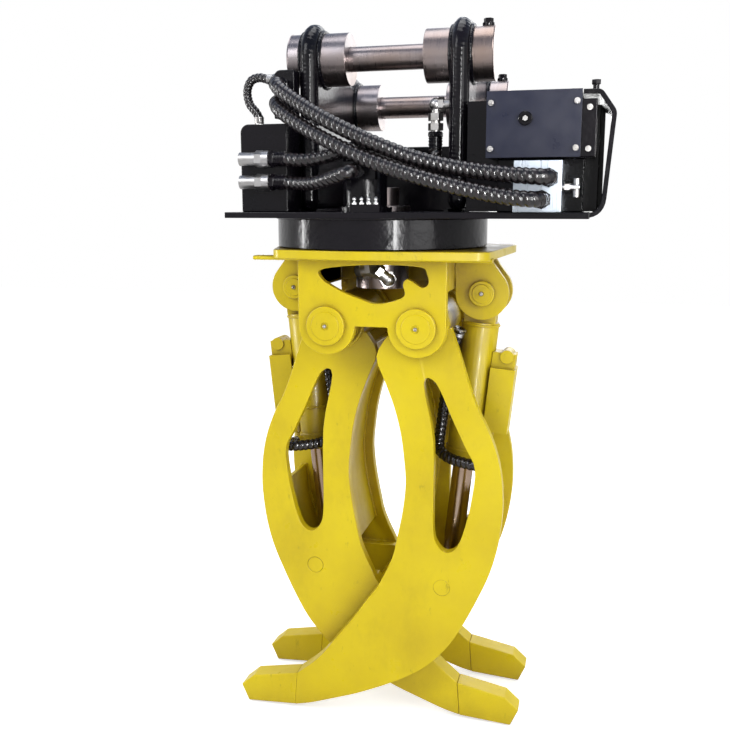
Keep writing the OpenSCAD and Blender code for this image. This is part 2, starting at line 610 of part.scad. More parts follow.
// load-holding valve, its guard and the steel tube on the barrel's outer side
module guard() color(yellow) translate([0, 0, -barrel_l]) difference() {
    union() {
        for (y = [-guard_y, guard_y - guard_t]) block([barrel_d / 2 - 6, y, guard_low],
            [guard_x, y + guard_t, guard_low + 195]);
        block([guard_x - 10, -guard_y, guard_low], [guard_x, guard_y, guard_low + 195]);
        rod_y_at(-36, 36, 20, guard_x - 30, guard_low + 230);
        block([barrel_d / 2 - 6, -30, guard_low + 180], [guard_x - 4, 30, guard_low + 240]);
        rod_z_at(guard_low - 60, guard_low + 190, pipe_r, barrel_d / 2 + 14, 0);
        rod_z_at(guard_low - 66, guard_low - 42, pipe_r + 5, barrel_d / 2 + 14, 0);
    }
    rod_z_at(0, barrel_l, barrel_d / 2, 0, 0);
}
module guard_right() at_cylinder(1) guard();
module guard_left() at_cylinder(-1) guard();
module hose_barrel_right() color(rubber) at_cylinder(1)
    translate([0, 0, -barrel_l])
    wrapped_hose("hose_barrel_right", barrel_route, small_hose_d, small_pitch, [0, 1, 0]);
module hose_barrel_left() color(rubber) at_cylinder(-1)
    translate([0, 0, -barrel_l])
    wrapped_hose("hose_barrel_left", barrel_route, small_hose_d, small_pitch, [0, 1, 0]);

// pieces on the base plate
module left_housing() color(black) xz_plate(house_front, house_back) hull() {
    translate([-house_left, base_top]) square([house_left - ear_out, 10]);
    translate([-house_left + 24, house_top - 24]) circle(r = 24, $fn = coarse);
    translate([-ear_out - 20, house_top - 20]) square(20);
}
module left_unions() color(zinc) for (z = union_z) {
    rod_y_at(house_front - union_out, house_front, union_neck_r, union_neck_x, z);
    rod_x_at(union_x, union_x + union_long, union_body_r, house_front - union_out, z);
    translate([union_x + union_long, house_front - union_out, z]) rotate([0, 90, 0])
        cylinder(h = union_nut, r = union_nut_r + 1, $fn = 6);
    rod_x_at(union_x + union_long + union_nut, union_x + union_long + 2 * union_nut, union_nut_r,
        house_front - union_out, z);
}
module bulkhead() color(black) xz_plate(bulk_front, bulk_front + 50) hull() {
    translate([-ear_out - 62, bulk_low]) square([62, 20]);
    translate([-ear_out - 42, bulk_high]) circle(r = 20, $fn = coarse);
    translate([-ear_out - 20, bulk_high]) square(20);
}
module loop_hose() color(rubber) translate([0, 0, base_top])
    wrapped_hose("loop_hose", loop_route, small_hose_d, small_pitch, [0, 1, 0]);
module hose_upper() color(rubber) translate([0, 0, base_top])
    wrapped_hose("hose_upper", upper_route, hose_d, wrap_pitch, [0, 0, 1]);
module hose_lower() color(rubber) translate([0, 0, base_top])
    wrapped_hose("hose_lower", lower_route, hose_d, wrap_pitch, [0, 0, 1]);
module hose_left() color(rubber) translate([0, 0, base_top])
    wrapped_hose("hose_left", left_route, hose_d - 6, wrap_pitch, [0, 0, 1]);
module hose_motor() color(rubber) translate([0, 0, base_top])
    wrapped_hose("hose_motor", motor_route, hose_d - 6, wrap_pitch, [0, 0, 1]);
module motor_housing() color(black) {
    block([box_left, box_front, box_bot], [box_right, box_back, box_top]);
    block([box_right, box_front, box_bot], [box_right + 38, box_front + 180, box_top - 24]);
    block([box_left + 20, box_front + 100, base_top], [box_right + 10, box_back - 20, box_bot]);
}
module housing_cover() color(black) {
    block([box_left, box_front - 8, box_bot], [box_right, box_front, box_top]);
    for (x = [box_left + 12, box_right - 12], z = [box_bot + 22, box_top - 30])
        rod_y_at(box_front - 16, box_front - 8, 8, x, z);
    rod_y_at(box_front - 13, box_front - 8, 16, (box_left + box_right) / 2 - 20, box_bot + 97);
}
module side_guard() color(black) xz_plate(box_front + 4, box_back - 30) polygon([
    [box_right, box_top], [box_right + 47, box_top], [box_right + 87, box_top - 55],
    [box_right + 67, base_top + 20], [base_right + 22, base_bot], [base_right, base_bot],
    [base_right, base_top], [box_right + 46, base_top + 16], [box_right + 66, box_top - 60],
    [box_right + 38, box_top - 20], [box_right, box_top - 20]]);
module valve_block() color(zinc)
    block([block_left, box_front - 5, base_top], [block_left + 124, box_front + 100, box_bot - 7]);
module valve_tee() color(zinc) {
    rod_x_at(block_left + 124, block_left + 168, 10, box_front + 30, tee_z);
    translate([block_left + 130, box_front + 30, tee_z]) rotate([0, 90, 0]) cylinder(h = 14, r = 15, $fn = 6);
    rod_z_at(tee_z - 26, tee_z + 22, 9, block_left + 160, box_front + 30);
}
module elbow_stack() color(zinc) {
    rod_x_at(elbow_x, ear_in, elbow_r - 6, elbow_y, elbow_z);
    translate([elbow_x + 8, elbow_y, elbow_z]) rotate([0, 90, 0]) cylinder(h = 16, r = elbow_r + 2, $fn = 6);
    translate([elbow_x, elbow_y, elbow_z]) sphere(r = elbow_r, $fn = 24);
    rod_z_at(elbow_z - elbow_drop, elbow_z, elbow_r - 6, elbow_x, elbow_y);
    for (d = [elbow_drop - 3, elbow_drop - 30]) translate([elbow_x, elbow_y, elbow_z - d])
        cylinder(h = 20, r = elbow_r + 3, $fn = 6);
}
module grease_block() color(zinc) {
    block([-40, base_front + 6, base_top], [44, base_front + 34, base_top + 20]);
    for (k = [0:3]) rod_z_at(base_top + 20, base_top + 42, 6, -28 + 20 * k, base_front + 20);
}

base_plate();
ear_left();
ear_right();
boss_front_left();
boss_front_right();
boss_rear_left();
boss_rear_right();
cross_plate();
drum();
left_housing();
left_unions();
bulkhead();
loop_hose();
hose_motor();
motor_housing();
housing_cover();
side_guard();
valve_block();
valve_tee();
slew_motor();
elbow_stack();
hose_upper();
hose_lower();
hose_left();
grease_block();
pin_bolts();
swivel_stator();
front_pin();
rear_pin();
pinion_gear();
flange();
hub_gear();
rollers();
front_plate();
rear_plate();
core_box();
clevis_left();
clevis_right();
swivel_rotor();
swivel_unions();
hinge_shaft_left();
hinge_shaft_right();
cyl_pin_left();
cyl_pin_right();
jaw_left();
jaw_right();
tooth_left_front();
tooth_left_rear();
tooth_right_front();
tooth_right_rear();
rod_pin_left();
rod_pin_right();
barrel_left();
barrel_right();
guard_left();
guard_right();
hose_barrel_left();
hose_barrel_right();
rod_left();
rod_right();
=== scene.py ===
"""Looks of the excavator grapple: finishes, rounded edges, wrapped hoses, fittings and welds."""
import json
import math

import bmesh
import bpy
import numpy as np
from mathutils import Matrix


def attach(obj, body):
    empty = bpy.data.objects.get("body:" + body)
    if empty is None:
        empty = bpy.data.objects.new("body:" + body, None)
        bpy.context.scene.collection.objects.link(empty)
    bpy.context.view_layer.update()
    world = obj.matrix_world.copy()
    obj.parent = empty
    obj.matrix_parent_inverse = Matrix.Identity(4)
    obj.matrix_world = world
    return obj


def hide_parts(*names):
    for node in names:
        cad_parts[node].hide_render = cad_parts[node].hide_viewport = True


bl_info = {
    "name": "Excavator Grapple Dressing",
    "version": (1, 0, 0),
    "blender": (4, 5, 0),
    "location": "View3D > Sidebar > Grapple",
    "description": "Dresses the packed excavator grapple with finishes, hoses, welds and fittings",
    "category": "Object",
}

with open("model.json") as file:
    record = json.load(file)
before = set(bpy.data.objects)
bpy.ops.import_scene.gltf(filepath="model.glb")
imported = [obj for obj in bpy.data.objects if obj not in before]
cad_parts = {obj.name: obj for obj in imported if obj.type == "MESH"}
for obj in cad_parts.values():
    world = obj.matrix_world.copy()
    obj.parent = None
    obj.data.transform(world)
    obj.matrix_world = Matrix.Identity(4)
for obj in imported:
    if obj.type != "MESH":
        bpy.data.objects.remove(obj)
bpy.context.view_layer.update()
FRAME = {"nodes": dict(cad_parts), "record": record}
NODES = FRAME["nodes"]
MM = 0.001
SLOTS = {row["node"]: row["material_slot"] for row in FRAME["record"]["subparts"]}
FINISH = {}

# places on the object, in millimetres
PIN_DROP, PIN_PITCH = 100, 390
BASE_TOP, BASE_BOT = -440, -456
DRUM_R = 317
SLEW = (-25, 30)
HINGE_X, HINGE_Z = 132, -762
CYL_X, CYL_Z = 296, -672
JAW_Y = (-180, -110)
JAW_W, JAW_T = 330, 30
ROD_DX, ROD_DZ = 76, -780
BARREL_L = 520
CYL_TILT = math.atan2(HINGE_X + ROD_DX - CYL_X, -(HINGE_Z + ROD_DZ - CYL_Z))
PIN_LINES = ((0, 0), (PIN_PITCH, -PIN_DROP))
EAR_X, EAR_HALF = 220, 28
BOSS_R = 75
BOSS_ENDS = ((-286, -1), (308, 1))
BOSS_WELDS_X = (-248, -192, 192, 248)
EAR_WELDS_X, EAR_WELD_Y = (-250, -190, 190, 250), (-96, 440)
FLANGE_WELD_X, FLANGE_WELD_Z = (-350, 340), -570
FLANGE_WELDS_Y = ((-190, 3), (-215, 4), (230, 3), (255, 4))
JAW_HUB_R = 80
COVER_Y = -266
COVER_SCREWS_X, COVER_SCREWS_Z = (332, 548), (-278, -163)
PLUG_X, PLUG_Z = 420, -203
BLOCK_Y, BLOCK_HIGH = -295, 20
CAP_Y = ((-229, -1), (269, 1))
HINGE_CAP_R, CYL_CAP_R, CYL_CAP_OUT = 57, 37, 78
SIDES = ((1, "right"), (-1, "left"))

# hose centre lines: heights are above the base plate, and on a barrel above its open end
ROUTES = {
    "hose_upper": [(-285, -130, 356), (-285, -172, 356), (-262, -208, 336), (-190, -246, 290),
                   (-90, -282, 235), (20, -300, 185), (140, -306, 140), (260, -312, 112),
                   (380, -328, 96), (446, -340, 90), (480, -328, 88), (485, -299, 88), (485, -255, 88)],
    "hose_lower": [(-285, -130, 302), (-285, -172, 302), (-262, -212, 280), (-190, -250, 235),
                   (-90, -288, 184), (20, -312, 136), (140, -328, 96), (260, -336, 64), (370, -346, 42),
                   (430, -352, 35), (462, -338, 33), (468, -299, 33), (468, -255, 33)],
    "hose_left": [(-290, -226, 147), (-252, -226, 147), (-190, -236, 142), (-128, -240, 148),
                  (-72, -247, 163), (-24, -256, 174), (20, -256, 170), (64, -236, 148), (112, -180, 118),
                  (138, -110, 104), (150, -62, 124), (150, -52, 170), (150, -52, 225)],
    "hose_motor": [(-290, -226, 83), (-252, -226, 83), (-200, -238, 78), (-140, -268, 80),
                   (-80, -300, 94), (-38, -318, 106), (-25, -286.3, 112), (-25, -248.3, 112)],
    "loop_hose": [(-310, -105, 378), (-336, -105, 378), (-362, -105, 384), (-388, -105, 376),
                  (-401, -105, 348), (-395, -105, 312), (-376, -105, 288), (-366, -105, 270),
                  (-366, -105, 245)],
    "hose_barrel": [(-50, -52, 410), (-58, -50, 380), (-70, -44, 300), (-74, -38, 200), (-76, -36, 100),
                    (-76, -42, 56), (-64, -64, 32), (-28, -88, 22), (14, -104, 21), (50, -110, 21),
                    (75, -98, 21), (73, -73, 21), (53, -53, 21)],
}
INNER = [(-92, -30), (-124, -90), (-96, -168), (-70, -238), (-50, -318), (-39, -403), (-35, -468),
         (-43, -548), (-58, -628), (-76, -705), (-122, -804)]
OUTER = [(-47, -1093), (18, -1050), (58, -1013), (103, -958), (143, -888), (186, -798), (218, -718),
         (238, -638), (249, -548), (249, -478), (242, -413), (226, -348), (200, -283), (176, -238),
         (148, -168), (123, -88), (92, 0)]

# how finely shapes are drawn
BEAD_STEP, BEAD_SIDES = 2.2, 8
RIM_STEP, RIM_SIDES = 3, 40
HOSE_SIDES = 36
OUTLINE_STEP, INSET_STEPS = 4, 40
BEND_POINTS, CIRCLE_POINTS = 8, 96
BEVEL_STEPS, SMALL_EDGE = 2, 1.5

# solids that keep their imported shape, or that a piece drawn below stands for
NOT_ROUNDED = ("pinion_gear", "hub_gear", "rollers", "ear_left", "ear_right", "side_guard", "grease_block")

# sockets of the Mix node when it mixes colours
COLOUR_A, COLOUR_B, COLOUR_OUT = 6, 7, 2

# camera fitted to the photo, in pixels, metres and degrees
PHOTO_PX, FOCAL_PX, SENSOR_MM = 730, 884.89, 36
CAMERA_AT, CAMERA_TURN = (0.6198, -2.6251, -0.4147), (90 - 10.388, 0.08, 14.78)

# stage: floor, sky brightness from below to above, and lamps as name, place, aim, size and power
FLOOR_HALF, FLOOR_Z, FLOOR_LIFT = 12, -2.006, 0.62
SKY = ((0.0, (0.20, 0.19, 0.18)), (0.36, (0.5, 0.5, 0.5)), (0.42, (1, 1, 1)), (0.64, (1, 1, 1)),
       (0.76, (0.42, 0.50, 0.66)), (1.0, (0.16, 0.22, 0.36)))
DIFFUSE_SKY = (0.60, 0.60, 0.62, 1)
LAMPS = (("Key", (-2.6, -3.4, 2.2), (0, 0, -0.9), (2.0, 2.6), 110),
         ("Fill", (3.6, -2.6, 0.4), (0, 0, -1.0), (2.2, 2.9), 90),
         ("Top", (0.2, 0.4, 3.2), (0, 0, -0.6), (2.4, 3.1), 90),
         ("Front strip", (1.43, -2.95, -0.3), (0.08, -0.27, -0.4), (0.20, 1.9), 130),
         ("Left strip", (-3.15, -0.7, -0.3), (-0.19, -0.24, -0.4), (0.16, 1.8), 60),
         ("Back", (0.8, 4.0, 1.2), (0, 0, -0.8), (2.6, 3.4), 60))


# shapes worked out as arrays
def catmull(points, n=12):
    """Points on a Catmull-Rom spline: half of (2b + (c-a)t + (2a-5b+4c-d)t^2 + (3b-a-3c+d)t^3)."""
    p = np.asarray(points, float)
    p = np.vstack([2 * p[0] - p[1], p, 2 * p[-1] - p[-2]])
    a, b, c, d = p[:-3, None], p[1:-2, None], p[2:-1, None], p[3:, None]
    t = np.linspace(0, 1, n, endpoint=False)[None, :, None]
    q = 0.5 * (2 * b + (c - a) * t + (2 * a - 5 * b + 4 * c - d) * t ** 2
               + (3 * b - a - 3 * c + d) * t ** 3).reshape(-1, p.shape[1])
    return np.vstack([q, p[-2]])


def route(name, level):
    """A hose's line, straight for half of its first and last stretch, raised to the level it sits on."""
    p = np.array(ROUTES[name], float) + (0, 0, level)
    return catmull(np.vstack([p[0], (p[0] + p[1]) / 2, p[1:-1], (p[-2] + p[-1]) / 2, p[-1]]))


def even(path, step):
    """The same line with points at an even step, by interpolation over its running length."""
    s = np.r_[0, np.cumsum(np.linalg.norm(np.diff(path, axis=0), axis=1))]
    t = np.linspace(0, s[-1], max(2, int(round(s[-1] / step)) + 1))
    return np.stack([np.interp(t, s, path[:, k]) for k in range(path.shape[1])], 1), t


def frames(path, loop=False):
    """Direction, side and up at each point of a line. The side is carried along by taking out its
    part along the next direction, so the frame never spins round the line."""
    d = np.roll(path, -1, 0) - np.roll(path, 1, 0) if loop else np.gradient(path, axis=0)
    d /= np.linalg.norm(d, axis=1)[:, None]
    seed = np.eye(3)[np.argmin(np.abs(d[0]))]
    side = [np.cross(d[0], seed)]
    for k in range(1, len(d)):
        v = side[-1] - d[k] * (side[-1] @ d[k])
        side.append(v / np.linalg.norm(v))
    side[0] = side[0] / np.linalg.norm(side[0])
    side = np.array(side)
    return d, side, np.cross(d, side)


def shell(p, loop=False):
    """Vertices and faces of a grid of points p[row, column]. Columns close on themselves. Rows do so too
    if loop, and otherwise one face closes each end row."""
    n, m = p.shape[:2]
    i, j = np.meshgrid(np.arange(n if loop else n - 1), np.arange(m), indexing="ij")
    k, u = (i + 1) % n, (j + 1) % m
    faces = np.stack([i * m + j, i * m + u, k * m + u, k * m + j], -1).reshape(-1, 4).tolist()
    if not loop:
        faces += [list(range(m))[::-1], list(range((n - 1) * m, n * m))]
    return p.reshape(-1, 3), faces


def tube(path, radius, sides, loop):
    """Tube: point = line + radius(distance, angle) * (cos(angle) side + sin(angle) up)."""
    s = np.r_[0, np.cumsum(np.linalg.norm(np.diff(path, axis=0), axis=1))]
    _, side, up = frames(path, loop)
    a = np.linspace(0, 2 * np.pi, sides, endpoint=False)
    r = radius(s[:, None], a[None, :])
    p = path[:, None] + r[..., None] * (np.cos(a)[None, :, None] * side[:, None]
                                        + np.sin(a)[None, :, None] * up[:, None])
    return shell(p, loop=loop)


def turned(origin, axis, profile, sides=48):
    """Turned form: each (distance, radius) of the profile is a ring round the axis at that distance."""
    axis = np.asarray(axis, float) / np.linalg.norm(axis)
    seed = np.eye(3)[np.argmin(np.abs(axis))]
    side = np.cross(axis, seed)
    side /= np.linalg.norm(side)
    up = np.cross(axis, side)
    pr = np.asarray(profile, float)
    a = np.linspace(0, 2 * np.pi, sides, endpoint=False)
    ring = np.cos(a)[:, None] * side + np.sin(a)[:, None] * up
    p = np.asarray(origin, float) + pr[:, 0, None, None] * axis + pr[:, 1, None, None] * ring[None]
    return shell(p)


def nut(origin, axis, high, across):
    """Hexagon with a bevelled rim at both ends."""
    r = across / math.sqrt(3)
    profile = [(0, r * 0.93), (high * 0.12, r), (high * 0.88, r), (high, r * 0.93)]
    return turned(origin, axis, profile, 6)


def cap_screw(origin, axis, r, high):
    """Bolt head: washer, hexagon and a small domed centre."""
    o, v = np.asarray(origin, float), np.asarray(axis, float)
    return [turned(o, v, [(0, r * 1.35), (high * 0.2, r * 1.35)], 20),
            nut(o + v * high * 0.2, v, high * 0.7, r * 1.75),
            turned(o + v * high * 0.9, v, [(0, r * 0.62), (high * 0.1, r * 0.5)], 16)]


def bead(path, r, loop=False, seed=1):
    """Weld bead: a tube whose radius swells like overlapping scales, r (1 + 0.10 saw + random drift)."""
    q = even(np.vstack([path, path[:1]]) if loop else np.asarray(path, float), BEAD_STEP)[0]
    if loop:
        q = q[:-1]
    drift = np.random.default_rng(seed).normal(0, 0.05, len(q))

    def radius(s, a):
        return r * (1 + 0.10 * ((s / (3.2 * BEAD_STEP)) % 1.0) + drift[:, None] + 0 * a)
    return tube(q, radius, BEAD_SIDES, loop)


def outline_of(node):
    """Outer line, in y and z millimetres, of a plate that lies across x: the edges of its side face
    that only one triangle of that face uses, followed round into the longest loop."""
    mesh = NODES[node].data
    co = np.array([v.co for v in mesh.vertices]) / MM
    key = {}
    index = [key.setdefault(tuple(np.round(c, 2)), len(key)) for c in co]
    points = np.array(list(key))
    low = points[:, 0].min()
    edges = set()
    for face in mesh.polygons:
        ring = [index[k] for k in face.vertices]
        if all(points[k][0] < low + 0.05 for k in ring):
            for a, b in zip(ring, ring[1:] + ring[:1]):
                edges ^= {(a, b)} if (b, a) not in edges else {(b, a)}
    after = dict(edges)
    best = []
    while after:
        start, loop = next(iter(after)), []
        k = start
        while k in after:
            loop.append(k)
            k = after.pop(k)
        best = max(best, loop, key=len)
    line = points[best][:, 1:]
    area = np.sum(line[:, 0] * np.roll(line[:, 1], -1) - line[:, 1] * np.roll(line[:, 0], -1))
    closed = np.vstack([line, line[:1]])
    return even(closed if area > 0 else closed[::-1], OUTLINE_STEP)[0][:-1]


def inset(line, width):
    """A closed line, drawn anticlockwise, moved inwards by a width in small even steps."""
    q = line.copy()
    for _ in range(INSET_STEPS):
        t = np.roll(q, -1, 0) - np.roll(q, 1, 0)
        t /= np.linalg.norm(t, axis=1)[:, None] + 1e-9
        q = q + np.column_stack([-t[:, 1], t[:, 0]]) * width / INSET_STEPS
        q = even(np.vstack([q, q[:1]]), OUTLINE_STEP)[0][:-1]
    return q


def prism(line, x0, x1):
    """Plate between two places on x over a closed line in y and z."""
    rows = [np.column_stack([np.full(len(line), float(x)), line]) for x in (x0, x1)]
    return shell(np.array(rows))


def bent(corners, r):
    """A line with its inner corners rounded: points of the quadratic through r before, at and r after
    each corner."""
    c = np.asarray(corners, float)
    out = [c[:1]]
    t = np.linspace(0, 1, BEND_POINTS)[:, None]
    for a, b, d in zip(c[:-2], c[1:-1], c[2:]):
        p = b + (a - b) / np.linalg.norm(a - b) * min(r, np.linalg.norm(a - b) / 2)
        q = b + (d - b) / np.linalg.norm(d - b) * min(r, np.linalg.norm(d - b) / 2)
        out.append((1 - t) ** 2 * p + 2 * t * (1 - t) * b + t ** 2 * q)
    return np.vstack(out + [c[-1:]])


def band(line, thick, y0, y1, edge=1.5):
    """Bent plate: a line in x and z made thick to both sides and wide from y0 to y1, with the corners
    of its section cut by the edge size."""
    t = np.gradient(line, axis=0)
    t /= np.linalg.norm(t, axis=1)[:, None]
    side = np.column_stack([-t[:, 1], t[:, 0]])
    h = thick / 2
    section = [(-h, y0 + edge), (-h, y1 - edge), (-h + edge, y1), (h - edge, y1), (h, y1 - edge),
               (h, y0 + edge), (h - edge, y0), (-h + edge, y0)]
    rows = [[(p[0] + n[0] * k, y, p[1] + n[1] * k) for k, y in section] for p, n in zip(line, side)]
    return shell(np.array(rows))


def box_shell(a, b, edge=1.5):
    """Box between two corners with its upright edges cut by the edge size."""
    (x0, y0, z0), (x1, y1, z1) = a, b
    ring = [(x0 + edge, y0), (x1 - edge, y0), (x1, y0 + edge), (x1, y1 - edge), (x1 - edge, y1),
            (x0 + edge, y1), (x0, y1 - edge), (x0, y0 + edge)]
    return shell(np.array([[(x, y, z) for x, y in ring] for z in (z0, z1)]))


def rim_build(path, r, seed):
    """Rim built up in weld runs round a closed line: the radius is r (0.95 + 0.02 |sin| across the runs
    + 0.03 of the scale phase along them + a little random drift)."""
    q = even(np.vstack([path, path[:1]]), RIM_STEP)[0][:-1]
    drift = np.random.default_rng(seed).normal(0, 0.008, (len(q), 1))

    def radius(s, a):
        runs = np.abs(np.sin(4 * a))
        scale = (s / 11.0 + 0.3 * np.sin(a * 3)) % 1.0
        return r * (0.95 + 0.02 * runs + 0.03 * scale + drift)
    return tube(q, radius, RIM_SIDES, True)


def circle(origin, axis, r):
    """Points of a circle of radius r round an axis."""
    return turned(origin, axis, [(0, r)], CIRCLE_POINTS)[0]


def merge(shells):
    """One vertex list and one face list out of several."""
    verts, faces, start = [], [], 0
    for v, f in shells:
        verts.append(v)
        faces += [[k + start for k in face] for face in f]
        start += len(v)
    return np.vstack(verts), faces


def piece(name, shells, body, slot, stands_for=(), angle=32, finish=None):
    """Puts shells given in millimetres into one object that rides on a body, in its slot's finish unless
    another is named."""
    verts, faces = merge(shells)
    mesh = bpy.data.meshes.new(name)
    mesh.from_pydata((verts * MM).tolist(), [], faces)
    mesh.update()
    mesh.shade_smooth()
    mesh.set_sharp_from_angle(angle=math.radians(angle))
    obj = bpy.data.objects.new(name, mesh)
    bpy.context.scene.collection.objects.link(obj)
    mesh.materials.append(FINISH[finish or slot])
    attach(obj, body)
    if stands_for:
        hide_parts(*stands_for)
    return obj


def body_of(node):
    """Name of the CAD body that holds a node."""
    return next(b for b, names in FRAME["record"]["behaviour"]["bodies"].items() if node in names)


def rounded(node, width, slot, finish):
    """A copy of a solid with its points merged, its flat faces joined and its edges rounded."""
    bm = bmesh.new()
    bm.from_mesh(NODES[node].data)
    bmesh.ops.remove_doubles(bm, verts=bm.verts, dist=2e-5)
    bmesh.ops.dissolve_limit(bm, angle_limit=math.radians(1.0), verts=bm.verts, edges=bm.edges,
                             use_dissolve_boundaries=False)
    mesh = bpy.data.meshes.new(node + "_finished")
    bm.to_mesh(mesh)
    bm.free()
    mesh.shade_smooth()
    mesh.set_sharp_from_angle(angle=math.radians(30))
    mesh.materials.clear()
    mesh.materials.append(FINISH[finish or slot])
    obj = bpy.data.objects.new(node + "_finished", mesh)
    bpy.context.scene.collection.objects.link(obj)
    mod = obj.modifiers.new("Rounded edges", "BEVEL")
    mod.width, mod.segments = width * MM, BEVEL_STEPS
    mod.limit_method, mod.angle_limit = "ANGLE", math.radians(30)
    mod.use_clamp_overlap, mod.harden_normals = True, True
    mod.miter_outer = "MITER_ARC"
    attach(obj, body_of(node))
    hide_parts(node)


# places
def at_jaw(side, p):
    """Points drawn round the right jaw's hinge moved to a jaw: side 1 right, side -1 left, mirrored."""
    p = np.asarray(p, float)
    return p * (side, 1, 1) + (side * HINGE_X, JAW_Y[0 if side > 0 else 1], HINGE_Z)


def at_cylinder(side, p):
    """Points drawn with the cylinder's pin at the origin and its axis down, turned by the tilt,
    mirrored for the left and moved to the cylinder's pin."""
    p = np.asarray(p, float)
    c, s = math.cos(-CYL_TILT), math.sin(-CYL_TILT)
    q = np.stack([p[..., 0] * c + p[..., 2] * s, p[..., 1], -p[..., 0] * s + p[..., 2] * c], -1)
    return q * (side, 1, 1) + (side * CYL_X, JAW_Y[0 if side > 0 else 1] + JAW_W / 2, CYL_Z)


def mapped(place, side, shells):
    """Shells moved by a place function, turned inside out again where it mirrors them."""
    return [(place(side, v), [f[::-1] for f in faces] if side < 0 else faces) for v, faces in shells]


# finishes
class Nodes:
    """Small helper that adds shader nodes and links them."""

    def __init__(self, name, colour):
        self.mat = bpy.data.materials.new(name)
        self.mat.use_nodes = True
        self.tree = self.mat.node_tree
        self.shader = self.tree.nodes["Principled BSDF"]
        self.shader.inputs["Base Color"].default_value = (*colour, 1)
        self.mat.diffuse_color = (*colour, 1)
        self.coords = self.tree.nodes.new("ShaderNodeTexCoord").outputs["Object"]

    def add(self, kind, links=None, **values):
        """Adds a node, with its inputs or settings by name, and links sockets to its inputs."""
        node = self.tree.nodes.new("ShaderNode" + kind)
        for key, value in values.items():
            if key in node.inputs:
                node.inputs[key].default_value = value
            else:
                setattr(node, key, value)
        for key, out in (links or {}).items():
            self.tree.links.new(out, node.inputs[key])
        return node

    def noise(self, scale, detail=4.0, rough=0.6, stretch=None):
        """Noise on the object's own coordinates, drawn out along an axis if a stretch is given."""
        vec = self.coords
        if stretch:
            vec = self.add("Mapping", {"Vector": vec}, Scale=stretch).outputs[0]
        n = self.add("TexNoise", {"Vector": vec}, Scale=scale, Detail=detail, Roughness=rough)
        return n.outputs["Fac"]

    def ramp(self, fac, *stops):
        """Colours or greys along a value, each stop is (place, value)."""
        node = self.add("ValToRGB", {"Fac": fac})
        for k, (place, value) in enumerate(stops):
            e = node.color_ramp.elements[k] if k < 2 else node.color_ramp.elements.new(place)
            e.position = place
            e.color = (*value, 1) if isinstance(value, tuple) else (value, value, value, 1)
        return node.outputs["Color"]

    def mix(self, fac, a, b, blend="MIX"):
        """Mix of two colours by a value, either of them a socket or a plain colour."""
        node = self.add("Mix", data_type="RGBA", blend_type=blend)
        for index, value in ((COLOUR_A, a), (COLOUR_B, b)):
            if isinstance(value, tuple):
                node.inputs[index].default_value = (*value, 1)
            else:
                self.tree.links.new(value, node.inputs[index])
        if isinstance(fac, float):
            node.inputs[0].default_value = fac
        else:
            self.tree.links.new(fac, node.inputs[0])
        return node.outputs[COLOUR_OUT]

    def to(self, key, out):
        """Links a socket to an input of the surface shader."""
        self.tree.links.new(out, self.shader.inputs[key])

    def bump(self, height, strength, distance, under=None):
        """Bump from a height, laid over another bump if one is given."""
        links = {"Height": height}
        if under is not None:
            links["Normal"] = under
        return self.add("Bump", links, Strength=strength, Distance=distance).outputs["Normal"]


def paint(name, colour, shade, dirt_and_shade, rough, coat, wave, shade_and_grime, gloss):
    """Paint: two tints drift by soft noise, and roughness runs from three quarters to one and a half times
    its value. Fine orange peel over slow waviness bends the reflections. With a shade strength above
    nought, ambient occlusion paints brown shade into corners and creases in patches, and smears and
    scuffs lie over the rest."""
    n = Nodes(name, colour)
    drift = n.noise(3.5, 5)
    base = n.mix(n.ramp(drift, (0.35, 0.0), (0.7, 1.0)), tuple(colour), tuple(shade))
    if shade_and_grime:
        # painted shade: ambient occlusion darkens corners and creases towards the brown tint, in patches
        ao = n.add("AmbientOcclusion", Distance=0.14, samples=6).outputs["AO"]
        creases = n.ramp(ao, (0.2, shade_and_grime), (0.85, 0.0))
        patches = n.ramp(n.noise(9, 8, 0.7), (0.3, 0.45), (0.62, 1.0))
        base = n.mix(n.mix(1.0, creases, patches, "MULTIPLY"), base, tuple(dirt_and_shade))
        smears = n.ramp(n.noise(5, 7, 0.7, (1, 1, 0.5)), (0.52, 0.0), (0.8, 0.5))
        base = n.mix(smears, base, tuple(0.6 * c + 0.25 * d for c, d in zip(shade, dirt_and_shade)))
        scuffs = n.ramp(n.noise(38, 6, 0.75, (1, 1, 0.35)), (0.62, 0.0), (0.70, 0.6))
        base = n.mix(scuffs, base, tuple(c * 0.55 for c in shade))
    n.to("Base Color", base)
    n.to("Roughness", n.ramp(n.noise(14, 6), (0.3, rough * 0.75), (0.75, min(1.0, rough * 1.5))))
    n.shader.inputs["Specular IOR Level"].default_value = gloss
    n.shader.inputs["Coat Weight"].default_value = coat
    n.shader.inputs["Coat Roughness"].default_value = 0.06
    low = n.bump(n.noise(9, 2, 0.4), wave, 0.004)
    lumps = n.bump(n.noise(75, 3, 0.5), wave * 0.6, 0.0018, low)
    n.to("Normal", n.bump(n.noise(420, 2), 0.10, 0.0006, lumps))
    return n.mat


def turned_metal(name, colour, warm, rough, rings, along="x"):
    """Bare metal: fine tool marks as bands along an axis, warm tarnish in soft patches."""
    n = Nodes(name, colour)
    n.shader.inputs["Metallic"].default_value = 1.0
    stretch = {"x": (1, 0.03, 0.03), "z": (0.03, 0.03, 1), "none": (1, 1, 1)}[along]
    marks = n.noise(rings, 3, 0.6, stretch)
    tarnish = n.ramp(n.noise(5, 4, 0.5), (0.3, 0.0), (0.8, 0.8))
    n.to("Base Color", n.mix(tarnish, tuple(colour), tuple(warm)))
    n.to("Roughness", n.ramp(marks, (0.3, rough * 0.85), (0.7, min(1.0, rough * 1.25))))
    n.to("Normal", n.bump(marks, 0.03, 0.0002))
    return n.mat


